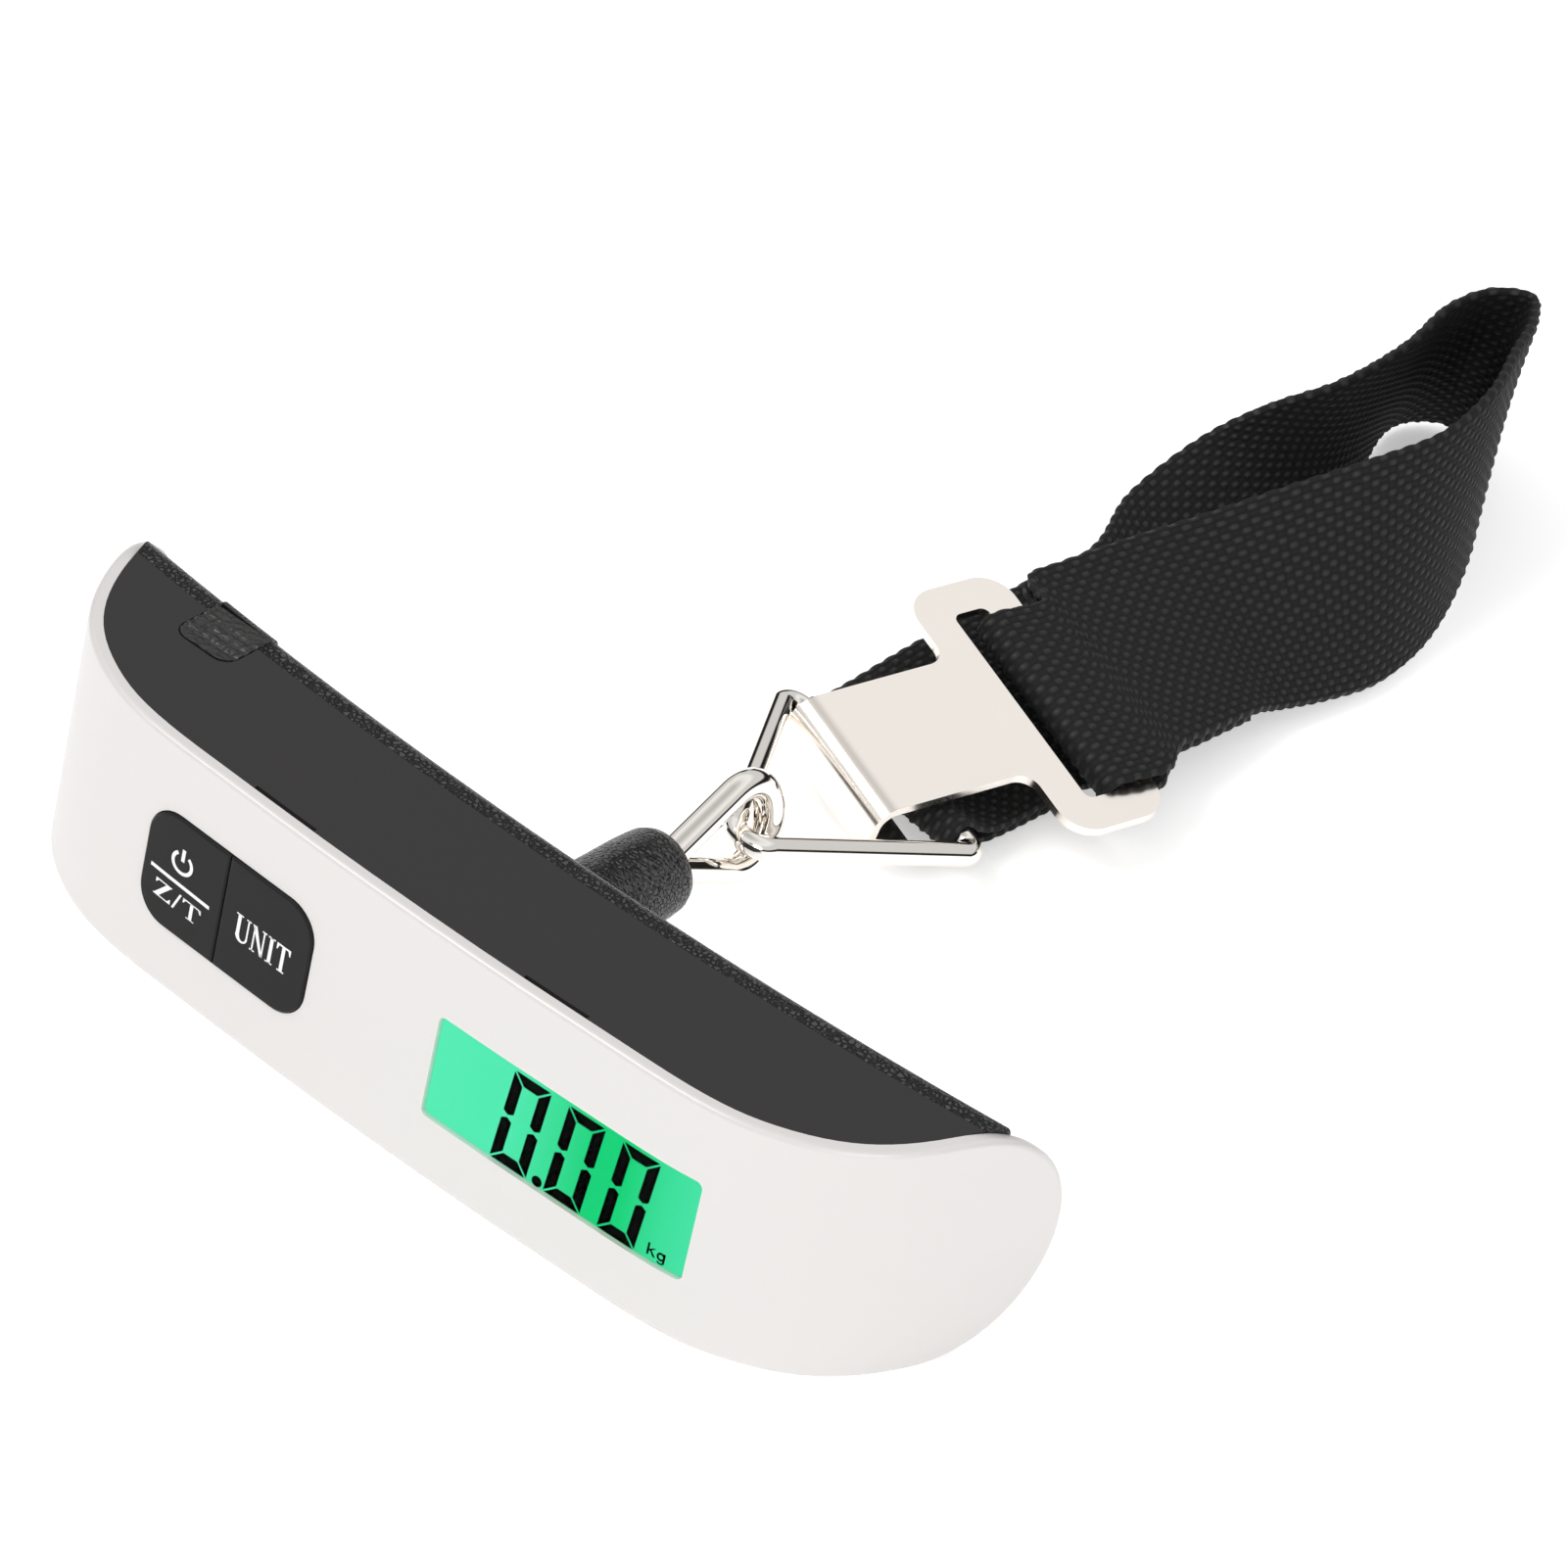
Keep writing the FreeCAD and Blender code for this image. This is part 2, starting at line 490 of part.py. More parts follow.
def ring_sector(r0, r1, cy, cz, a0, a1, width):
    """Part of a tube about X, between two angles measured from +Y towards +Z."""
    def at(r, a):
        return V(-width / 2, cy + r * math.cos(math.radians(a)), cz + r * math.sin(math.radians(a)))
    am = (a0 + a1) / 2
    edges = [Part.Arc(at(r1, a0), at(r1, am), at(r1, a1)).toShape(), Part.makeLine(at(r1, a1), at(r0, a1)),
             Part.Arc(at(r0, a1), at(r0, am), at(r0, a0)).toShape(), Part.makeLine(at(r0, a0), at(r1, a0))]
    return Part.Face(Part.Wire(edges)).extrude(V(width, 0, 0))


hook = [top,
        ring_sector(HOOK_R - t, HOOK_R, 0, -HOOK_R, 90, 180, NECK_W),
        box(-NECK_W / 2, NECK_W / 2, -HOOK_R, -HOOK_R + t, -HOOK_H + HOOK_R, -HOOK_R),
        ring_sector(HOOK_R - t, HOOK_R, 0, -HOOK_H + HOOK_R, 180, 270, NECK_W),
        box(-NECK_W / 2, NECK_W / 2, 0, HOOK_LIP - HOOK_R, -HOOK_H, -HOOK_H + t)]
keep("hook_plate", placed(fuse(hook)))

# ---------------------------------------------------------------------- webbing
# Each station is the right and left edge of the webbing's middle surface.
LOWER = [((10.5, 76.2, 5.3), (-15.4, 74.5, 10.1)), ((11.4, 81.5, 3.6), (-16.6, 80.5, 8.6)),
         ((11.6, 96.0, 2.3), (-17.0, 98.0, 8.4)), ((13.2, 116.0, 1.6), (-16.6, 121.0, 9.2)),
         ((14.6, 133.0, 1.3), (-15.6, 135.0, 10.0)), ((11.5, 150.0, 1.2), (-19.4, 147.5, 11.4)),
         ((6.0, 165.0, 1.1), (-17.4, 159.0, 17.0)), ((-2.5, 180.0, 1.1), (-12.6, 165.0, 22.6)),
         ((-10.8, 192.0, 1.1), (-7.6, 174.0, 25.8)), ((-15.2, 203.0, 1.1), (-6.0, 187.0, 28.0))]
CROWN = [((-14.2, 209.0, 1.1), (-7.2, 198.0, 29.2)), ((-10.4, 212.4, 1.1), (-5.4, 205.0, 30.0)),
         ((-5.6, 210.4, 1.1), (-1.4, 208.2, 30.4)), ((-0.6, 203.8, 1.1), (2.2, 204.4, 30.6))]
UPPER = [((6.0, 193.0, 1.1), (5.6, 195.5, 30.8)), ((13.2, 178.0, 1.1), (9.6, 184.0, 30.4)),
         ((18.4, 165.0, 1.2), (10.6, 173.0, 28.8)), ((20.4, 154.0, 1.6), (7.6, 163.5, 27.0)),
         ((19.6, 144.0, 2.6), (2.0, 153.0, 23.6)), ((17.9, 134.5, 4.2), (-4.6, 140.0, 19.4))]
SEWN = [((17.6, 129.5, 5.2), (-7.8, 132.5, 17.4)), ((17.9, 118.0, 7.0), (-11.4, 121.0, 15.6)),
        ((18.4, 110.0, 8.4), (-12.4, 114.0, 15.2))]


def smooth(values, steps):
    """Catmull-Rom curve through tuples of numbers, in a given number of steps per span."""
    out = []
    for i in range(len(values) - 1):
        a, b = values[max(i - 1, 0)], values[i]
        c, d = values[i + 1], values[min(i + 2, len(values) - 1)]
        for k in range(steps + (i == len(values) - 2)):
            t = k / steps
            out.append(tuple(
                0.5 * (2 * q + (r - p) * t + (2 * p - 5 * q + 4 * r - u) * t * t
                       + (3 * q - p - 3 * r + u) * t ** 3) for p, q, r, u in zip(a, b, c, d)))
    return out


def ribbon(stations, thicknesses, steps=3):
    """A strip of webbing through its stations, each a right and a left edge."""
    rows = smooth([r + l + (t,) for (r, l), t in zip(stations, thicknesses)], steps)
    mids = [(V(*row[0:3]) + V(*row[3:6])) * 0.5 for row in rows]
    wires = []
    for i, row in enumerate(rows):
        r, l = V(*row[0:3]), V(*row[3:6])
        ahead = mids[min(i + 1, len(mids) - 1)] - mids[max(i - 1, 0)]
        n = ahead.cross(r - l).normalize() * (row[6] / 2)
        wires.append(Part.makePolygon([r + n, l + n, l - n, r - n, r + n]))
    return Part.makeLoft(wires, True, True)


main = LOWER + CROWN + UPPER
thick = [2.4, 3.0, 3.2] + [WEB_T] * (len(main) - 3)
strap = ribbon(main, thick)
bar = CORNER_R - CORNER_L
wrap_from = CORNER_L + bar * ((half_bar - WRAP_W / 2) / bar.Length)
wrap = Part.makeCylinder(WRAP_OUT, WRAP_W, wrap_from, bar).cut(
    Part.makeCylinder(WRAP_IN, 60, CORNER_L - bar * 0.5, bar))
strap = strap.cut(Part.makeCylinder(WRAP_IN, 60, CORNER_L - bar * 0.5, bar)).fuse(wrap)
keep("strap", strap.removeSplitter())

# the sewn end: round the plate's bar, then doubled back on itself
fold_y, fold_z = SLOT_Y1 - 0.2, -t / 2
fold = fuse([ring_sector(0.85, 0.85 + WEB_T, fold_y, fold_z, 90, 270, WEB_W),
             box(-WEB_W / 2, WEB_W / 2, fold_y, FOLD_END, fold_z + 0.85, fold_z + 0.85 + WEB_T),
             box(-WEB_W / 2, WEB_W / 2, fold_y, FOLD_END, fold_z - 0.85 - WEB_T, fold_z - 0.85)])
fold = placed(fold)
start = [plate_place.multVec(V(s * WEB_W / 2, FOLD_END - 0.3, fold_z)) for s in (1, -1)]
start = tuple((p.x, p.y, p.z) for p in start)
tail = ribbon([start] + SEWN[::-1], [2 * WEB_T + 1.7, 4.6, 4.2, 4.0], 2)
keep("strap_end", fold.fuse(tail).removeSplitter())

for name, shape in NODES.items():
    part = shape.copy()
    part.Placement = FreeCAD.Placement(ORIGIN, FreeCAD.Rotation()).multiply(part.Placement)
    part.exportStep("parts/" + name + ".step")
    print("%-20s valid %s, %.2f mm3, %d solids" % (name, part.isValid(), part.Volume, len(part.Solids)))
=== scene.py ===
import json
import math

import bpy
import numpy as np
from mathutils import Matrix, Vector
from mathutils.bvhtree import BVHTree


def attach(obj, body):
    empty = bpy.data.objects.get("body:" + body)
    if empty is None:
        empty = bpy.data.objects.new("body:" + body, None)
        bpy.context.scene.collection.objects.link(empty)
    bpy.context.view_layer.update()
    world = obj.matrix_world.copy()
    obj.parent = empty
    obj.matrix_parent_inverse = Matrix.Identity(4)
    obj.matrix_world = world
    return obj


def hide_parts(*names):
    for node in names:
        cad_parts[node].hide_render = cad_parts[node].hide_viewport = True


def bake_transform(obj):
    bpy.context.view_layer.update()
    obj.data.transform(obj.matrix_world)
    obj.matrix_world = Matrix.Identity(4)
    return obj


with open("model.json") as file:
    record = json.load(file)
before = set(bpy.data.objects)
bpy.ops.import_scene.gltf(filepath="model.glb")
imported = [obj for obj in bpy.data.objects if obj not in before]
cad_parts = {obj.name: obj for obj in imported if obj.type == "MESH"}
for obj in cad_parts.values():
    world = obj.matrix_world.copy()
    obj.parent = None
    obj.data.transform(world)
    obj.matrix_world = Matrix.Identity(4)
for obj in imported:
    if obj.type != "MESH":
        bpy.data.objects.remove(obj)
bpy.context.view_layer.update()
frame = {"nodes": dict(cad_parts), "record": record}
NODES = frame["nodes"]

# The numbers below are millimetres in the scale's own layout: +X along the handle towards
# the display, +Y out along the stem, +Z up, y = 0 at the rear deck and z = 0 on the floor.
# The row frame's origin is 12 mm nearer the front, so place() adds it and turns to metres.
DECK_Y = 12.0


def place(points):
    return (np.asarray(points, float) + (0, DECK_Y, 0)) / 1000


# ------------------------------------------------------------------ materials


def new_material(name):
    material = bpy.data.materials.new(name)
    material.use_nodes = True
    tree = material.node_tree
    return material, tree, tree.nodes["Principled BSDF"]


def principled(name, color, roughness, metallic=0.0, **more):
    material, tree, shader = new_material(name)
    shader.inputs["Base Color"].default_value = (*color, 1)
    shader.inputs["Roughness"].default_value = roughness
    shader.inputs["Metallic"].default_value = metallic
    for key, value in more.items():
        shader.inputs[key.replace("_", " ")].default_value = value
    return material


def link(tree, a, out, b, socket):
    tree.links.new(a.outputs[out], b.inputs[socket])


def add_grain(material, scale, depth):
    """Leather grain: small raised cells with soft creases between them."""
    tree = material.node_tree
    shader = tree.nodes["Principled BSDF"]
    coords = tree.nodes.new("ShaderNodeTexCoord")
    warp = tree.nodes.new("ShaderNodeTexNoise")
    warp.inputs["Scale"].default_value = scale * 0.6
    mix = tree.nodes.new("ShaderNodeMix")
    mix.data_type = "VECTOR"
    mix.inputs["Factor"].default_value = 0.0008
    cells = tree.nodes.new("ShaderNodeTexVoronoi")
    cells.feature = "DISTANCE_TO_EDGE"
    cells.inputs["Scale"].default_value = scale
    ramp = tree.nodes.new("ShaderNodeMapRange")
    ramp.inputs["From Max"].default_value = 0.22
    bump = tree.nodes.new("ShaderNodeBump")
    bump.inputs["Distance"].default_value = depth
    link(tree, coords, "Object", warp, "Vector")
    tree.links.new(coords.outputs["Object"], mix.inputs[4])
    tree.links.new(warp.outputs["Color"], mix.inputs[5])
    tree.links.new(mix.outputs[1], cells.inputs["Vector"])
    link(tree, cells, "Distance", ramp, "Value")
    link(tree, ramp, "Result", bump, "Height")
    link(tree, bump, "Normal", shader, "Normal")


def add_mottle(material, scale, low, high):
    """Slow variation of roughness, as on handled metal."""
    tree = material.node_tree
    coords = tree.nodes.new("ShaderNodeTexCoord")
    noise = tree.nodes.new("ShaderNodeTexNoise")
    noise.inputs["Scale"].default_value = scale
    noise.inputs["Detail"].default_value = 4
    spread = tree.nodes.new("ShaderNodeMapRange")
    spread.inputs["To Min"].default_value = low
    spread.inputs["To Max"].default_value = high
    link(tree, coords, "Object", noise, "Vector")
    link(tree, noise, "Fac", spread, "Value")
    link(tree, spread, "Result", tree.nodes["Principled BSDF"], "Roughness")


SILVER = principled("silver_paint", (0.70, 0.68, 0.668), 0.36, 0.12, Specular_IOR_Level=0.3)
BLACK = principled("black_smooth", (0.030, 0.028, 0.028), 0.42, Specular_IOR_Level=0.2)
GRAIN = principled("black_grain", (0.026, 0.025, 0.0245), 0.3, Specular_IOR_Level=0.8)
add_grain(GRAIN, 1350, 0.0009)
DOOR_GRAIN = principled("door_grain", (0.018, 0.0175, 0.017), 0.34, Specular_IOR_Level=0.5)
add_grain(DOOR_GRAIN, 900, 0.0001)
KEY = principled("key_black", (0.011, 0.0105, 0.0105), 0.45, Specular_IOR_Level=0.15)
LEGEND = principled("legend_white", (0.85, 0.85, 0.85), 0.5)
INK = principled("display_ink", (0.0, 0.0, 0.0), 0.8, Specular_IOR_Level=0.0)
NICKEL = principled("nickel_polished", (0.93, 0.89, 0.84), 0.06, 1.0)
PLATE = principled("nickel_satin", (0.97, 0.915, 0.85), 0.2, 1.0)
add_mottle(PLATE, 160, 0.14, 0.26)
WHITE = principled("white_plastic", (0.8, 0.8, 0.78), 0.5)
BOARD = principled("circuit_board", (0.03, 0.2, 0.08), 0.4)
STEEL = principled("zinc_steel", (0.6, 0.6, 0.58), 0.3, 1.0)
ALLOY = principled("machined_alloy", (0.75, 0.76, 0.77), 0.35, 1.0)
BRASS = principled("contact_brass", (0.75, 0.6, 0.3), 0.3, 1.0)
RUBBER = principled("connector_rubber", (0.05, 0.05, 0.05), 0.7)
WIRE = principled("lead_insulation", (0.45, 0.04, 0.03), 0.4)
CLEAR = principled("window_clear", (0.0, 0.0, 0.0), 0.08, 0.0, Alpha=0.04)

# The display glows, palest at its left end and deepest right of the middle.
LCD, lcd_tree, lcd_shader = new_material("display_green")
coords = lcd_tree.nodes.new("ShaderNodeTexCoord")
split = lcd_tree.nodes.new("ShaderNodeSeparateXYZ")
glow = lcd_tree.nodes.new("ShaderNodeValToRGB")
spread = lcd_tree.nodes.new("ShaderNodeMapRange")
LCD_X0, LCD_X1 = 0.0076, 0.0477
spread.inputs["From Min"].default_value = LCD_X0
spread.inputs["From Max"].default_value = LCD_X1
ramp = glow.color_ramp
ramp.elements[0].color = (0.10, 0.92, 0.50, 1)
ramp.elements[1].color = (0.07, 0.83, 0.42, 1)
for at, color in ((0.30, (0.09, 0.90, 0.48, 1)), (0.62, (0.008, 0.70, 0.21, 1)),
                  (0.74, (0.008, 0.70, 0.21, 1)), (0.90, (0.05, 0.80, 0.36, 1))):
    ramp.elements.new(at).color = color
link(lcd_tree, coords, "Object", split, "Vector")
link(lcd_tree, split, "X", spread, "Value")
link(lcd_tree, spread, "Result", glow, "Fac")
link(lcd_tree, glow, "Color", lcd_shader, "Emission Color")
lcd_shader.inputs["Base Color"].default_value = (0, 0, 0, 1)
lcd_shader.inputs["Specular IOR Level"].default_value = 0
lcd_shader.inputs["Emission Strength"].default_value = 1.0

FINISHES = {
    SILVER: ["front_panel"], BLACK: ["chassis", "chip_cover", "battery_tray"],
    GRAIN: ["rear_housing"], DOOR_GRAIN: ["battery_door"], KEY: ["key_power", "key_unit"],
    CLEAR: ["display_window"], LCD: ["lcd_glass"], INK: ["lcd_segments"],
    WHITE: ["backlight_guide", "display_frame", "backlight_led"], BOARD: ["circuit_board"],
    STEEL: ["board_screws", "key_domes", "load_cell_screws", "eye_anchor", "anchor_washer",
            "anchor_nut", "housing_screws", "battery"],
    ALLOY: ["load_cell"], BRASS: ["strain_gauges", "battery_contact_pos", "battery_contact_neg"],
    RUBBER: ["lcd_connector"], WIRE: ["gauge_leads"], NICKEL: ["eye", "triangle_ring"],
    PLATE: ["hook_plate"],
}
for material, names in FINISHES.items():
    for name in names:
        NODES[name].data.materials.clear()
        NODES[name].data.materials.append(material)

# -------------------------------------------------------------------- webbing
# Each station is a point on the right edge and one on the left. The lower strand leaves the
# ring's crossbar, the crown turns at the far end, the upper strand comes back, and the sewn
# part runs to the plate.
LOWER = [((11.4, 81.5, 3.6), (-16.6, 80.5, 8.6)), ((11.6, 96.0, 2.3), (-17.0, 98.0, 8.4)),
         ((13.2, 116.0, 1.6), (-16.6, 121.0, 9.2)),
         ((14.6, 133.0, 1.3), (-15.6, 135.0, 10.0)), ((11.5, 150.0, 1.2), (-19.4, 147.5, 11.4)),
         ((6.0, 165.0, 1.1), (-17.4, 159.0, 17.0)), ((-2.5, 180.0, 1.1), (-12.6, 165.0, 22.6)),
         ((-10.8, 192.0, 1.1), (-7.6, 174.0, 25.8)), ((-15.2, 203.0, 1.1), (-6.0, 187.0, 28.0))]
CROWN = [((-14.2, 209.0, 1.1), (-7.2, 198.0, 29.2)), ((-10.4, 212.4, 1.1), (-5.4, 205.0, 30.0)),
         ((-5.6, 210.4, 1.1), (-1.4, 208.2, 30.4)), ((-0.6, 203.8, 1.1), (2.2, 204.4, 30.6))]
UPPER = [((7.4, 193.6, 1.1), (5.6, 195.5, 30.8)), ((15.0, 178.6, 1.1), (9.6, 184.0, 30.4)),
         ((19.4, 165.4, 1.2), (10.2, 172.6, 28.6)), ((20.8, 154.0, 1.6), (7.2, 163.0, 26.8)),
         ((19.6, 144.0, 2.6), (2.0, 153.0, 23.6)), ((17.9, 134.5, 4.2), (-4.6, 140.0, 19.4))]
SEWN = [((17.6, 129.5, 5.2), (-7.8, 132.5, 17.4)), ((17.9, 118.0, 7.0), (-11.4, 121.0, 15.6)),
        ((18.4, 111.0, 8.2), (-12.4, 115.0, 15.2))]
WEB_T = 1.8
CORNER_L, CORNER_R = np.array((-19.0, 74.3, 10.8)), np.array((14.1, 76.4, 4.6))
BAR_HALF, BAR_R, BAR_WEB = 13.2, 1.65, 0.95     # crossbar wrap: half width, bar radius, web
LAP_GAP, LAP_T, LAP_END_T = 0.78, 1.5, 1.4      # doubled webbing beside the crossbar
PLATE_AT = np.array((-3.8, 70.7, 12.55))
PLATE_TURN = np.array(Matrix.Rotation(math.radians(-14.6), 3, "Z")
                      @ Matrix.Rotation(math.radians(11.3), 3, "Y"))
FOLD_V, FOLD_Z, FOLD_R, FOLD_END = 31.2, -0.625, 1.8, 39.0
FOLD_RIGHT, FOLD_LEFT, FOLD_T = 16.35, -14.3, 1.7   # drawn in a little at its left edge


def unit(v):
    return v / np.linalg.norm(v)


def on_plate(u, v, z):
    return PLATE_AT + PLATE_TURN @ np.array((u, v, z))


def shifted(stations, side, gap):
    """One layer of doubled webbing: the stations moved off their middle surface."""
    mids = [(np.array(r) + np.array(l)) / 2 for r, l in stations]
    out = []
    for i, (r, l) in enumerate(stations):
        ahead = mids[min(i + 1, len(mids) - 1)] - mids[max(i - 1, 0)]
        up = unit(np.cross(np.array(r) - np.array(l), ahead))
        out.append((np.array(r) + up * side * gap, np.array(l) + up * side * gap))
    return out


def webbing_rows():
    """Right edge, left edge and thickness of the one strip, from its hidden end round the
    crossbar, along the loop, round the slot's bar and back under itself."""
    rows = []
    bar_dir = unit(CORNER_R - CORNER_L)
    bar_mid = (CORNER_L + CORNER_R) / 2
    away = (np.array(LOWER[1][0]) + np.array(LOWER[1][1])) / 2 - bar_mid
    away = unit(away - bar_dir * (away @ bar_dir))
    up = np.cross(bar_dir, away)
    under = shifted(LOWER[:3], -1, LAP_GAP)
    over = shifted(LOWER[:3], 1, LAP_GAP)
    rows += [(*under[1], LAP_T), (*under[0], LAP_END_T)]
    for angle in (-90, -135, -180, -225, -270):
        out = math.cos(math.radians(angle)) * away + math.sin(math.radians(angle)) * up
        at = bar_mid + out * (BAR_R + BAR_WEB / 2)
        rows.append((at + bar_dir * BAR_HALF, at - bar_dir * BAR_HALF, BAR_WEB))
    rows += [(*over[0], LAP_END_T), (*over[1], LAP_T)]
    rows += [(np.array(r), np.array(l), WEB_T) for r, l in LOWER[2:] + CROWN + UPPER]
    gap = FOLD_R / 2
    rows += [(*pair, WEB_T) for pair in shifted(SEWN, -1, gap)]
    fold = [(FOLD_END, FOLD_Z + FOLD_R)]
    for angle in (90, 135, 180, 225, 270):
        turn = math.radians(angle)
        fold.append((FOLD_V + FOLD_R * math.cos(turn), FOLD_Z + FOLD_R * math.sin(turn)))
    fold.append((FOLD_END, FOLD_Z - FOLD_R))
    rows += [(on_plate(FOLD_RIGHT, v, z), on_plate(FOLD_LEFT, v, z), FOLD_T) for v, z in fold]
    rows += [(*pair, WEB_T) for pair in shifted(SEWN, 1, gap)[::-1]]
    return np.array([np.concatenate((r, l, (t,))) for r, l, t in rows])


def resample(rows, step):
    """Catmull-Rom through the rows (centripetal in their spacing), then even steps."""
    mids = (rows[:, :3] + rows[:, 3:6]) / 2
    gaps = np.linalg.norm(np.diff(mids, axis=0), axis=1)
    knots = np.concatenate(((0,), np.cumsum(np.sqrt(gaps))))
    rows = np.vstack((2 * rows[0] - rows[1], rows, 2 * rows[-1] - rows[-2]))
    knots = np.concatenate(((2 * knots[0] - knots[1],), knots, (2 * knots[-1] - knots[-2],)))
    out = []
    for i in range(1, len(rows) - 2):
        p0, p1, p2, p3 = rows[i - 1:i + 3]
        t0, t1, t2, t3 = knots[i - 1:i + 3]
        for t in np.linspace(t1, t2, 24, endpoint=False):
            a1 = (t1 - t) / (t1 - t0) * p0 + (t - t0) / (t1 - t0) * p1
            a2 = (t2 - t) / (t2 - t1) * p1 + (t - t1) / (t2 - t1) * p2
            a3 = (t3 - t) / (t3 - t2) * p2 + (t - t2) / (t3 - t2) * p3
            b1 = (t2 - t) / (t2 - t0) * a1 + (t - t0) / (t2 - t0) * a2
            b2 = (t3 - t) / (t3 - t1) * a2 + (t - t1) / (t3 - t1) * a3
            out.append((t2 - t) / (t2 - t1) * b1 + (t - t1) / (t2 - t1) * b2)
    out = np.array(out + [rows[-2]])
    mids = (out[:, :3] + out[:, 3:6]) / 2
    run = np.concatenate(((0,), np.cumsum(np.linalg.norm(np.diff(mids, axis=0), axis=1))))
    even = np.linspace(0, run[-1], int(run[-1] / step) + 1)
    return np.stack([np.interp(even, run, out[:, k]) for k in range(7)], 1), even


def mesh_object(name, vertices, faces, material, smooth=True):
    mesh = bpy.data.meshes.new(name)
    mesh.from_pydata([tuple(v) for v in vertices], [], faces)
    mesh.update()
    if smooth:
        mesh.shade_smooth()
    obj = bpy.data.objects.new(name, mesh)
    bpy.context.scene.collection.objects.link(obj)
    mesh.materials.append(material)
    return obj


def unit_rows(v):
    return v / np.linalg.norm(v, axis=-1, keepdims=True)


WEB_W = 32.0
KNOB_S, KNOB_W, KNOB_H = 1.3, 1.06, 0.32    # knob pitch along and across, and height
WEFT_SHARE = 0.3                            # height of a weft knob against a warp knob


def weave(s, w):
    """Height of a plain weave: each yarn passes over as a rounded knob, warp then weft."""
    knob = np.abs(np.cos(np.pi * s / KNOB_S) * np.cos(np.pi * w / KNOB_W)) ** 0.6
    warp = (np.round(s / KNOB_S) + np.round(w / KNOB_W)) % 2 < 0.5
    return knob * np.where(warp, 1.0, WEFT_SHARE)


def webbing():
    coarse = 1
    rows, run = resample(webbing_rows(), 0.3 * coarse)
    w = np.linspace(0, 1, int(WEB_W / (0.21 * coarse)) + 1)
    right, left, thick = rows[:, None, :3], rows[:, None, 3:6], rows[:, 6]
    mid = right + (left - right) * w[None, :, None]
    normal = unit_rows(np.cross(np.gradient(mid, axis=0), np.gradient(mid, axis=1)))
    side = unit_rows(left - right)[:, 0]
    lateral = w * WEB_W
    relief = KNOB_H * weave(run[:, None], lateral[None, :] - WEB_W / 2)
    edge = np.minimum(lateral, WEB_W - lateral)
    taper = np.sqrt(np.clip(1 - (1 - np.clip(edge / 0.9, 0, 1)) ** 2, 0, 1))[None, :]
    half = (thick[:, None] / 2 - KNOB_H) * (0.35 + 0.65 * taper)
    lift = (half + relief * (0.2 + 0.8 * taper))[:, :, None]
    ripple = (0.14 + 0.2 * np.abs(np.cos(np.pi * run / (2 * KNOB_S))))[:, None]
    rim_right = mid[:, 0] - side * ripple
    rim_left = mid[:, -1] + side * ripple
    ring = np.concatenate((rim_right[:, None], mid + normal * lift,
                           rim_left[:, None], (mid - normal * lift)[:, ::-1]), 1)
    n, m = ring.shape[:2]
    index = np.arange(n * m).reshape(n, m)
    a, b = index[:-1], index[1:]
    faces = np.stack((a, np.roll(a, -1, 1), np.roll(b, -1, 1), b), 2).reshape(-1, 4).tolist()
    faces += [index[0, ::-1].tolist(), index[-1].tolist()]
    obj = mesh_object("webbing_loop", place(ring.reshape(-1, 3)), faces, WEBBING)
    flat = np.concatenate(((0,), lateral, (WEB_W,), lateral[::-1]))
    # The yarn height also sets the base colour in the material: painted shade in the weave's low
    # parts, with the rims at half height.
    height = obj.data.attributes.new("yarn_height", "FLOAT", "POINT")
    rim = np.full((n, 1), 0.5)
    height.data.foreach_set("value", np.concatenate(
        (rim, relief / KNOB_H, rim, (relief / KNOB_H)[:, ::-1]), 1).ravel().astype(np.float32))
    spot = obj.data.attributes.new("yarn_place", "FLOAT_VECTOR", "POINT")
    places = np.stack((np.repeat(run[:, None], m, 1), np.repeat(flat[None, :], n, 0),
                       np.zeros((n, m))), 2)
    spot.data.foreach_set("vector", places.ravel().astype(np.float32))
    return obj, run[-1]


WEBBING = principled("black_webbing", (0.008, 0.0078, 0.0075), 0.5, Specular_IOR_Level=0.45)
web_tree = WEBBING.node_tree
web_shader = web_tree.nodes["Principled BSDF"]
yarn_height = web_tree.nodes.new("ShaderNodeAttribute")
yarn_height.attribute_name = "yarn_height"
yarn_place = web_tree.nodes.new("ShaderNodeAttribute")
yarn_place.attribute_name = "yarn_place"
# Base colour follows yarn height: painted shade, near black in the low gaps and weft dips of the
# weave, rising to the yarn's own black on the knob tops.
yarn_color_with_gap_shade = web_tree.nodes.new("ShaderNodeValToRGB")
yarn_color_with_gap_shade.color_ramp.elements[0].color = (0.0012, 0.0012, 0.0012, 1)
yarn_color_with_gap_shade.color_ramp.elements[0].position = 0.25
yarn_color_with_gap_shade.color_ramp.elements[1].color = (0.014, 0.0135, 0.013, 1)
gloss = web_tree.nodes.new("ShaderNodeMapRange")
gloss.inputs["To Min"].default_value = 0.9
gloss.inputs["To Max"].default_value = 0.48
stretch = web_tree.nodes.new("ShaderNodeMapping")
stretch.inputs["Scale"].default_value = (1.2, 7.0, 1.0)
fibre = web_tree.nodes.new("ShaderNodeTexNoise")
fibre.inputs["Scale"].default_value = 1.6
fibre.inputs["Detail"].default_value = 3
fibre_bump = web_tree.nodes.new("ShaderNodeBump")
fibre_bump.inputs["Strength"].default_value = 0.5
fibre_bump.inputs["Distance"].default_value = 0.00008
link(web_tree, yarn_height, "Fac", yarn_color_with_gap_shade, "Fac")
link(web_tree, yarn_height, "Fac", gloss, "Value")
link(web_tree, gloss, "Result", web_shader, "Roughness")
link(web_tree, yarn_color_with_gap_shade, "Color", web_shader, "Base Color")
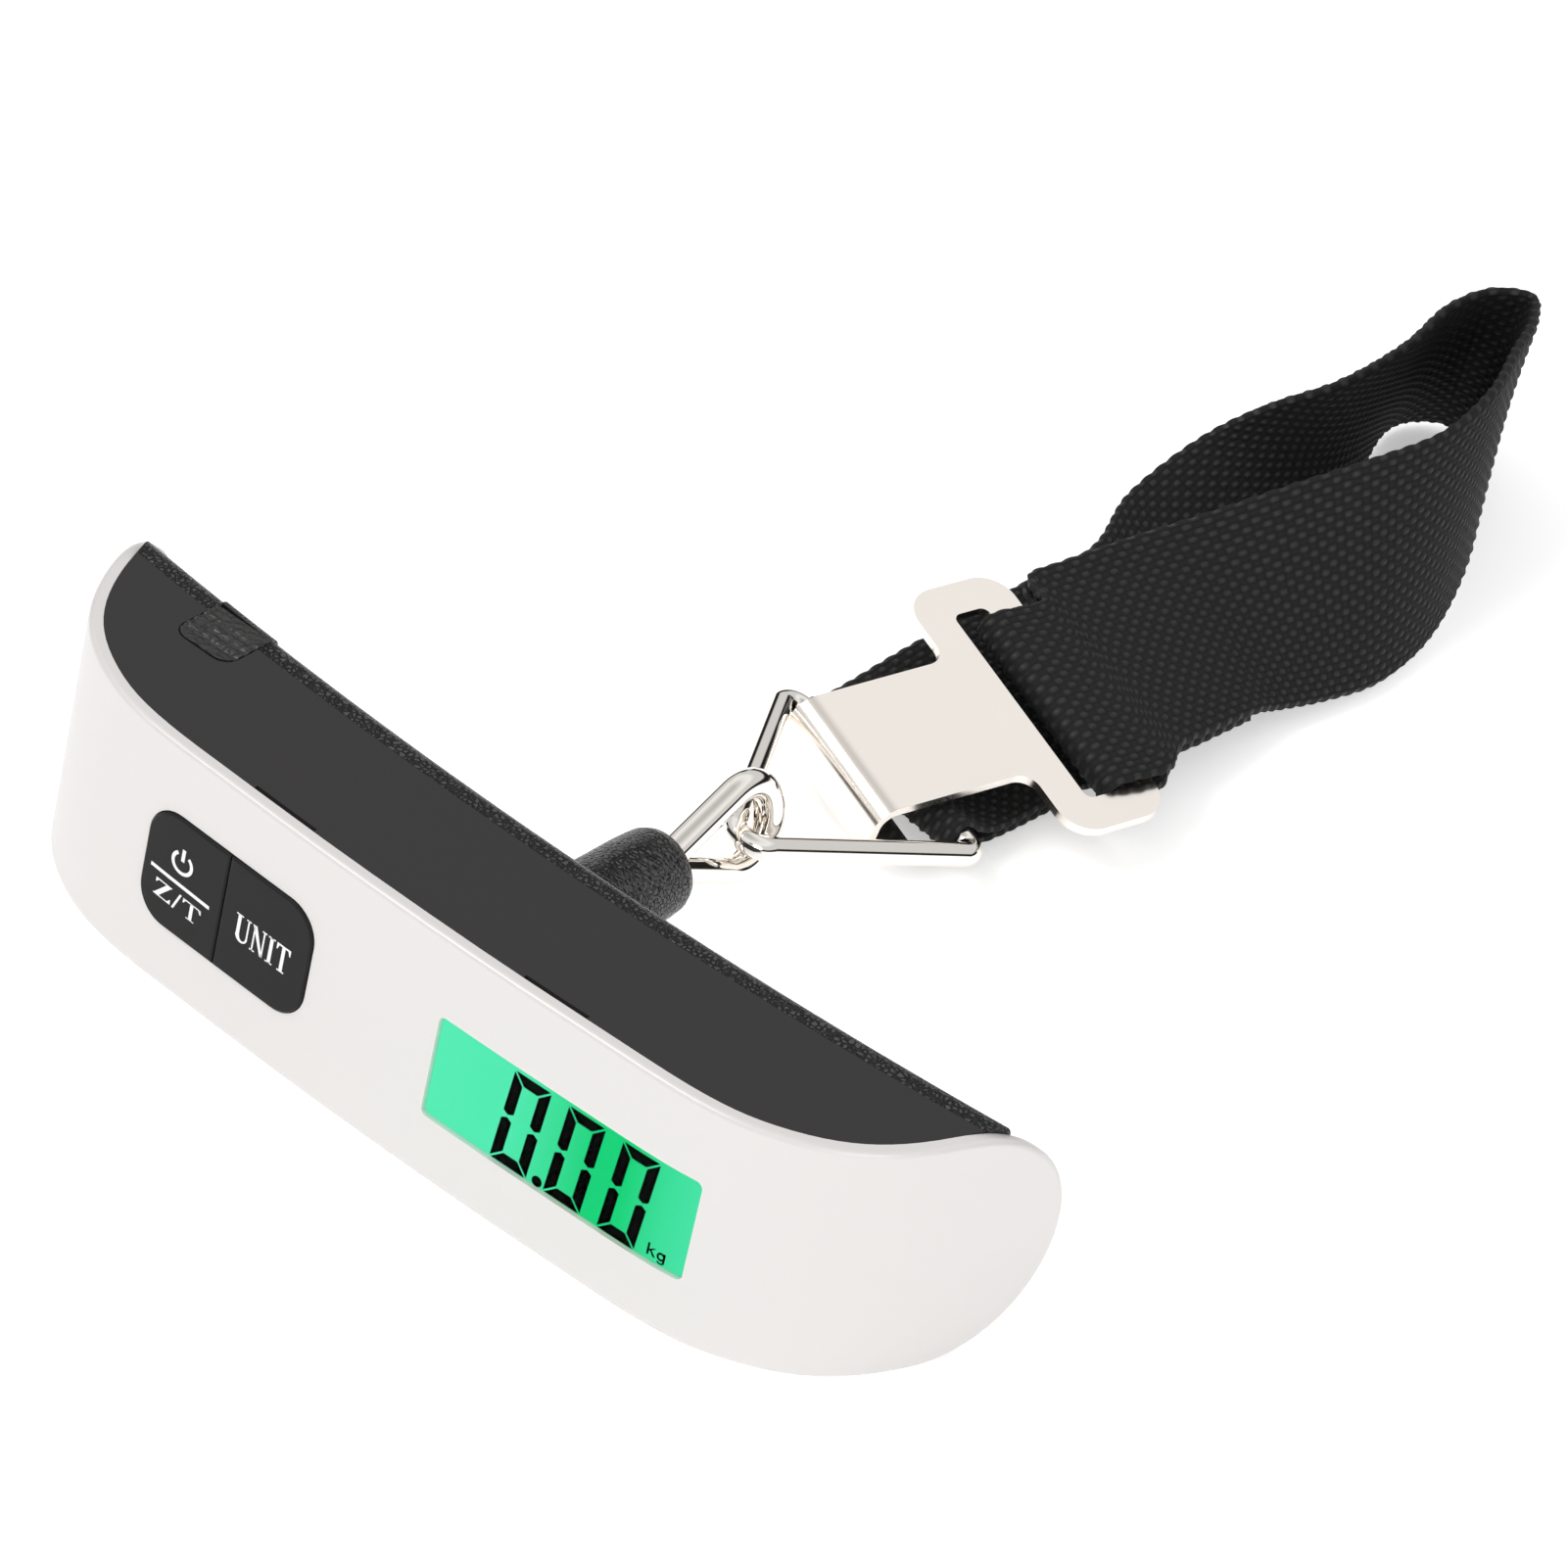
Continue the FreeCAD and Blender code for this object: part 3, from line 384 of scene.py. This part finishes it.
link(web_tree, yarn_place, "Vector", stretch, "Vector")
link(web_tree, stretch, "Vector", fibre, "Vector")
link(web_tree, fibre, "Fac", fibre_bump, "Height")
link(web_tree, fibre_bump, "Normal", web_shader, "Normal")

strap, strap_length = webbing()
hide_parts("strap", "strap_end")
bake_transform(strap)

# -------------------------------------------------------------------- legends
# Generic function marks only. Each glyph is a list of convex outlines on a unit cap height,
# laid on the surface of its node by looking along +Y, a few hundredths of a millimetre thick.


def bar(x0, y0, x1, y1, width):
    """A straight stroke, its ends cut level."""
    half = width / 2
    return [(x0 - half, y0), (x0 + half, y0), (x1 + half, y1), (x1 - half, y1)]


def slab(x0, x1, y0, y1):
    return [(x0, y0), (x1, y0), (x1, y1), (x0, y1)]


def arc(cx, cy, r0, r1, start, end, count=28, squash=1.0):
    """Ring segments between two radii, angles in degrees."""
    angles = [math.radians(start + (end - start) * k / count) for k in range(count + 1)]
    return [[(cx + r0 * math.cos(a), cy + r0 * math.sin(a) * squash),
             (cx + r1 * math.cos(a), cy + r1 * math.sin(a) * squash),
             (cx + r1 * math.cos(b), cy + r1 * math.sin(b) * squash),
             (cx + r0 * math.cos(b), cy + r0 * math.sin(b) * squash)]
            for a, b in zip(angles, angles[1:])]


THICK, THIN, SERIF = 0.11, 0.05, 0.05


def glyph_u():
    parts = [bar(0.11, 0.25, 0.11, 1, THICK), bar(0.43, 0.25, 0.43, 1, THIN)]
    parts += [slab(-0.01, 0.23, 1 - SERIF, 1), slab(0.35, 0.51, 1 - SERIF, 1)]
    n = 14
    outer = [(0.2525 - 0.21 * math.cos(math.pi * k / n), 0.25 - 0.26 * math.sin(math.pi * k / n))
             for k in range(n + 1)]
    inner = [(0.29 - 0.1125 * math.cos(math.pi * k / n), 0.25 - 0.18 * math.sin(math.pi * k / n))
             for k in range(n + 1)]
    return parts + [[outer[k], outer[k + 1], inner[k + 1], inner[k]] for k in range(n)], 0.51


def glyph_n():
    return [bar(0.08, 0, 0.08, 1, THIN), bar(0.42, 0, 0.42, 1, THIN),
            [(0.0, 1), (0.14, 1), (0.45, 0), (0.37, 0)],
            slab(0.0, 0.17, 0, SERIF), slab(0.34, 0.50, 1 - SERIF, 1)], 0.50


def glyph_i():
    return [bar(0.12, 0, 0.12, 1, THICK), slab(0, 0.24, 0, SERIF),
            slab(0, 0.24, 1 - SERIF, 1)], 0.24


def glyph_t():
    return [bar(0.24, 0, 0.24, 1, THICK), slab(0.12, 0.36, 0, SERIF), slab(0, 0.48, 0.93, 1),
            [(0, 1), (0, 0.76), (0.03, 0.76), (0.09, 0.95)],
            [(0.48, 1), (0.48, 0.76), (0.45, 0.76), (0.39, 0.95)]], 0.48


def glyph_z():
    return [slab(0.03, 0.60, 0.93, 1), slab(0.0, 0.60, 0, 0.07),
            [(0, 0), (0.17, 0), (0.60, 1), (0.43, 1)],
            [(0.03, 1), (0.03, 0.76), (0.06, 0.76), (0.14, 0.95)],
            [(0.60, 0), (0.60, 0.26), (0.57, 0.26), (0.48, 0.05)]], 0.60


def glyph_slash():
    return [[(0.0, -0.02), (0.07, -0.02), (0.28, 1.02), (0.21, 1.02)]], 0.28


def glyph_wide_t():
    return [bar(0.32, 0, 0.32, 1, THICK), slab(0.18, 0.46, 0, SERIF), slab(0, 0.64, 0.93, 1),
            [(0, 1), (0, 0.74), (0.03, 0.74), (0.11, 0.95)],
            [(0.64, 1), (0.64, 0.74), (0.61, 0.74), (0.53, 0.95)]], 0.64


def glyph_k():
    return [slab(0, 0.13, 0, 1), [(0.10, 0.30), (0.10, 0.45), (0.42, 0.72), (0.57, 0.72)],
            [(0.20, 0.40), (0.30, 0.47), (0.60, 0), (0.44, 0)]], 0.60


def glyph_g():
    parts = arc(0.28, 0.35, 0.15, 0.28, 0, 360, 28, 1.25)
    parts += [slab(0.43, 0.56, -0.08, 0.71)]
    return parts + arc(0.30, -0.06, 0.13, 0.26, 200, 360, 16, 0.85), 0.56


def glyph_power():
    return arc(0.5, 0.45, 0.34, 0.47, -235, 55, 36) + [slab(0.43, 0.57, 0.52, 1.02)], 1.0


def lay_text(name, glyphs, box, node, material, gap=0.06, tilt=0.0, lift=0.02):
    """Lay a row of glyphs inside a box (x0, x1, z0, z1) on a node's front surface."""
    x0, x1, z0, z1 = box
    total = sum(width for _, width in glyphs) + gap * (len(glyphs) - 1)
    scale = (x1 - x0) / total
    source = NODES[node].data
    surface = BVHTree.FromPolygons([v.co for v in source.vertices],
                                   [p.vertices for p in source.polygons])
    vertices, faces, pen = [], [], 0.0
    for outlines, width in glyphs:
        for outline in outlines:
            start = len(vertices)
            ring = []
            for gx, gy in outline:
                x = x0 + (pen + gx) * scale
                z = z0 + gy * (z1 - z0) + (x - (x0 + x1) / 2) * tilt
                hit = surface.ray_cast(Vector(place([(x, -60, z)])[0]), Vector((0, 1, 0)))[0]
                ring.append((x, hit.y * 1000 - DECK_Y, z))
            vertices += [(x, y - lift, z) for x, y, z in ring]
            vertices += [(x, y + 0.03, z) for x, y, z in ring]
            n = len(ring)
            front = [start + k for k in range(n)]
            back = [start + n + k for k in range(n)]
            faces += [front, back[::-1]]
            faces += [[front[k], back[k], back[(k + 1) % n], front[(k + 1) % n]] for k in range(n)]
        pen += width + gap
    obj = mesh_object(name, place(vertices), faces, material, smooth=False)
    groups = frame["record"]["behaviour"]["bodies"]
    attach(obj, next(body for body, members in groups.items() if node in members))


lay_text("legend_power", [glyph_power()], (-36.6, -32.7, 18.0, 21.6), "key_power", LEGEND)
divider = [slab(k / 16, (k + 1) / 16, 0, 1) for k in range(16)]
lay_text("legend_divider", [(divider, 1)], (-39.5, -29.3, 16.15, 16.65), "key_power", LEGEND,
         tilt=-0.035)
lay_text("legend_zero_tare", [glyph_z(), glyph_slash(), glyph_wide_t()], (-38.4, -30.4, 12.6, 15.1),
         "key_power", LEGEND, tilt=-0.035)
lay_text("legend_unit", [glyph_u(), glyph_n(), glyph_i(), glyph_t()], (-24.8, -15.6, 14.8, 18.7),
         "key_unit", LEGEND)
lay_text("legend_kg", [glyph_k(), glyph_g()], (42.2, 44.8, 9.75, 11.5), "lcd_glass", INK,
         gap=0.08, lift=0.05)

# ------------------------------------------------------------- floor and light
CORNERS = [(-1, -1), (1, -1), (1, 1), (-1, 1)]
FLOOR = principled("floor_white", (0.9, 0.9, 0.9), 0.9, Emission_Color=(1, 1, 1, 1),
                   Emission_Strength=0.42)
FLOOR_HALF, FLOOR_Z = 3, -0.0002        # metres; just under the side the scale lies on
floor = mesh_object("floor", [(x * FLOOR_HALF, y * FLOOR_HALF, FLOOR_Z) for x, y in CORNERS],
                    [(0, 1, 2, 3)], FLOOR)

# A white studio with a dark gap between the walls and the table, which the polished metal
# mirrors as thin streaks.
world = bpy.data.worlds.new("studio")
bpy.context.scene.world = world
world.use_nodes = True
sky = world.node_tree
direction = sky.nodes.new("ShaderNodeTexCoord")
height = sky.nodes.new("ShaderNodeSeparateXYZ")
walls = sky.nodes.new("ShaderNodeValToRGB")
walls.color_ramp.elements[0].color = (0.9, 0.9, 0.9, 1)
walls.color_ramp.elements[1].color = (0.62, 0.61, 0.60, 1)
for at, shade in ((0.02, 0.8), (0.05, 0.02), (0.22, 0.02), (0.28, 0.85), (0.55, 0.84),
                  (0.7, 1.15), (0.86, 1.05)):
    walls.color_ramp.elements.new(at).color = (shade, shade, shade, 1)
link(sky, direction, "Generated", height, "Vector")
link(sky, height, "Z", walls, "Fac")
link(sky, walls, "Color", sky.nodes["Background"], "Color")
sky.nodes["Background"].inputs["Strength"].default_value = 0.8


def area_light(name, at, target, size, power):
    data = bpy.data.lights.new(name, "AREA")
    data.shape, data.size, data.energy = "DISK", size, power
    lamp = bpy.data.objects.new(name, data)
    bpy.context.scene.collection.objects.link(lamp)
    lamp.location = at
    lamp.rotation_euler = (Vector(target) - Vector(at)).to_track_quat("-Z", "Y").to_euler()


CENTRE = (0, 0.09, 0.01)                # metres, about the middle of the scale
area_light("key_light", (-0.5, -0.6, 1.1), CENTRE, 0.7, 6)
area_light("fill_light", (0.9, -0.5, 0.5), CENTRE, 0.6, 3)

# A dark card between the scale and the camera, unseen by it, for the polished metal to mirror.
DARK = principled("dark_card", (0.01, 0.01, 0.01), 0.9)
CARD_AWAY, CARD_HALF_X, CARD_HALF_Y = 1.5, 0.15, 0.08
toward = Vector((0.5626, -0.7900, 0.6803)).normalized()
card_at = Vector(CENTRE) + toward * CARD_AWAY
card_x = toward.cross(Vector((0, 0, 1))).normalized()
card_y = toward.cross(card_x)
card = mesh_object("dark_card", [card_at + card_x * (u * CARD_HALF_X) + card_y * (v * CARD_HALF_Y)
                                 for u, v in CORNERS], [(0, 1, 2, 3)], DARK)
card.visible_camera = False

# --------------------------------------------------------------------- camera
AZIMUTH, ELEVATION, ROLL = 0.5660, 0.6344, -0.2302
EYE_POINT = place([(481.37, -708.53, 680.34)])[0]
forward = np.array((-math.sin(AZIMUTH) * math.cos(ELEVATION),
                    math.cos(AZIMUTH) * math.cos(ELEVATION), -math.sin(ELEVATION)))
level = np.array((math.cos(AZIMUTH), math.sin(AZIMUTH), 0))
drop = np.cross(forward, level)
image_x = level * math.cos(ROLL) + drop * math.sin(ROLL)
image_y = level * math.sin(ROLL) - drop * math.cos(ROLL)
lens = bpy.data.cameras.new("camera")
lens.sensor_width, lens.lens = 36, 204.36
lens.clip_start, lens.clip_end = 0.05, 20
camera = bpy.data.objects.new("camera", lens)
bpy.context.scene.collection.objects.link(camera)
camera.matrix_world = Matrix.Translation(EYE_POINT) @ Matrix(
    np.column_stack((image_x, image_y, -forward))).to_4x4()
bpy.context.scene.camera = camera
bpy.context.scene.view_settings.view_transform = "Standard"
